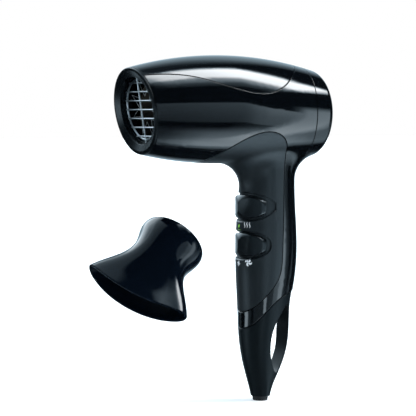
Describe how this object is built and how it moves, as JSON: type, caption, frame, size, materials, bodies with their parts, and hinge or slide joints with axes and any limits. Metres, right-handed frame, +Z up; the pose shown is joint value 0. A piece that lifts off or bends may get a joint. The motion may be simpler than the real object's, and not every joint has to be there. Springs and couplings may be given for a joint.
{
  "type": "travel hair dryer",
  "caption": "Compact pistol-shaped travel hair dryer: gloss barrel with wire outlet grille, soft-touch grip with two thumb switches, hanging-loop handle tail and a detached flared styling nozzle.",
  "frame": {"origin": "middle of the grip, on the handle's own axis, where the hand closes round it", "axes": "+Z up the handle towards the barrel, air blows towards -X, +Y is the user's right-hand side when the air blows away from them"},
  "size_m": [0.1617, 0.0714, 0.2312],
  "materials": {
    "armature_core": "laminated core with lacquered windings",
    "board_brown": "phenolic board",
    "bush_bronze": "sintered bronze",
    "cap_blue": "boxed film capacitor",
    "carbon": "pressed carbon",
    "dark_mesh": "fine etched screen, dark",
    "diode_black": "moulded epoxy",
    "duct_nylon": "heat resistant nylon",
    "fan_nylon": "glass filled nylon",
    "frame_nylon": "glass filled nylon",
    "gloss_black": "high gloss moulded, blue-black",
    "grille_steel": "drawn and welded wire, satin",
    "heating_wire": "oxidised resistance wire",
    "knob_black": "satin soft-touch",
    "magnet_ferrite": "sintered ferrite",
    "mica": "pressed mica board",
    "motor_steel": "zinc plated",
    "nozzle_black": "high gloss moulded",
    "panel_black": "high gloss inlay, blue-black",
    "satin_black": "fine satin texture",
    "screw_steel": "zinc plated",
    "shaft_steel": "ground",
    "soft_rubber": "matt",
    "soft_slate": "soft-touch coating, dark slate",
    "switch_plastic": "moulded",
    "tail_slate": "fine matt texture",
    "thermostat_steel": "stamped",
    "wire_insulation": "silicone sleeving"
  },
  "bodies": {
    "dryer": {"capacitor": "cap_blue", "cord_clamp": "frame_nylon", "cord_gland": "soft_rubber", "fan_duct": "duct_nylon", "grip_cover": "soft_slate", "handle_tail": "tail_slate", "heat_switch_body": "switch_plastic", "heater_board_flat": "mica", "heater_board_upright": "mica", "heater_coil": "heating_wire", "heater_sleeve": "mica", "heater_wires": "wire_insulation", "housing_left": "gloss_black", "housing_right": "gloss_black", "housing_screws": "screw_steel", "knob_pivot_pin": "shaft_steel", "motor_brushes": "carbon", "motor_bushes": "bush_bronze", "motor_can": "motor_steel", "motor_end_cap": "frame_nylon", "motor_magnets": "magnet_ferrite", "motor_mount_ring": "soft_rubber", "mouth_ring": "satin_black", "outlet_grille": "grille_steel", "rectifier_board": "board_brown", "rectifier_diodes": "diode_black", "speed_switch_body": "switch_plastic", "supply_wires": "wire_insulation", "switch_frame": "frame_nylon", "terminal_block": "frame_nylon", "thermal_fuse": "thermostat_steel", "thermostat": "thermostat_steel", "top_panel": "panel_black"},
    "fan_rotor": {"fan_impeller": "fan_nylon", "motor_armature": "armature_core", "motor_shaft": "shaft_steel"},
    "heat_knob": {"heat_knob": "knob_black"},
    "speed_knob": {"speed_knob": "knob_black"},
    "heat_slider": {"heat_switch_slider": "frame_nylon"},
    "speed_slider": {"speed_switch_slider": "frame_nylon"},
    "rear_cap": {"rear_cap": "gloss_black", "intake_mesh": "dark_mesh"},
    "nozzle": {"nozzle": "nozzle_black"}
  },
  "joints": [
    {"name": "fan_spin", "type": "hinge", "parent": "dryer", "child": "fan_rotor", "pos_m": [0, 0, 0.0818], "axis": [1, 0, 0], "continuous": true},
    {"name": "heat_knob_turn", "type": "hinge", "parent": "dryer", "child": "heat_knob", "pos_m": [-0.003, 0, 0.0176], "axis": [0, 0, 1], "range_deg": [-9, 9]},
    {"name": "speed_knob_turn", "type": "hinge", "parent": "dryer", "child": "speed_knob", "pos_m": [-0.003, 0, -0.0077], "axis": [0, 0, 1], "range_deg": [-9, 9]},
    {"name": "heat_slider_slide", "type": "slide", "parent": "dryer", "child": "heat_slider", "axis": [0, 1, 0], "range_m": [-0.0013, 0.0013]},
    {"name": "speed_slider_slide", "type": "slide", "parent": "dryer", "child": "speed_slider", "axis": [0, 1, 0], "range_m": [-0.0013, 0.0013]},
    {"name": "rear_cap_pull", "type": "slide", "parent": "dryer", "child": "rear_cap", "axis": [1, 0, 0], "range_m": [0, 0.02]},
    {"name": "nozzle_turn", "type": "hinge", "parent": "dryer", "child": "nozzle", "pos_m": [-0.0674, 0.008, -0.0042], "axis": [-0.7098, -0.2994, -0.6377], "continuous": true}
  ],
  "couplings": [
    {"joint": "heat_slider_slide", "follows": "heat_knob_turn", "m_per_rad": 0.008},
    {"joint": "speed_slider_slide", "follows": "speed_knob_turn", "m_per_rad": 0.008}
  ]
}
